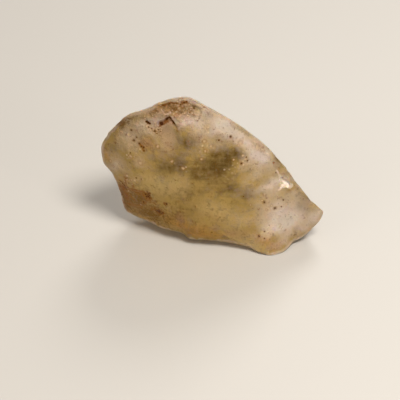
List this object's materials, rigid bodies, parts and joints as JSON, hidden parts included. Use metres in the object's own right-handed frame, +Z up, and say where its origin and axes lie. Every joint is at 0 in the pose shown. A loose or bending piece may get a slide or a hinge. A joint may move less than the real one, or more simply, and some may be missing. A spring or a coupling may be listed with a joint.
{
  "type": "tektite",
  "caption": "Lump of pale yellow natural glass with a sharp worn rim, a domed front, broad fracture faces behind and a small flat to rest on.",
  "frame": {"origin": "on the resting plane, under the middle of the bounding box", "axes": "+X along the length towards the thin tip, +Y from the domed front to the thick back, +Z up as the stone stands"},
  "size_m": [0.0384, 0.0162, 0.0293],
  "materials": {
    "frosted_natural_glass": "cloudy pale yellow glass, translucent at the thin rim, frosted and finely pitted by wind"
  },
  "bodies": {
    "root": {"tektite": "frosted_natural_glass"}
  },
  "joints": []
}
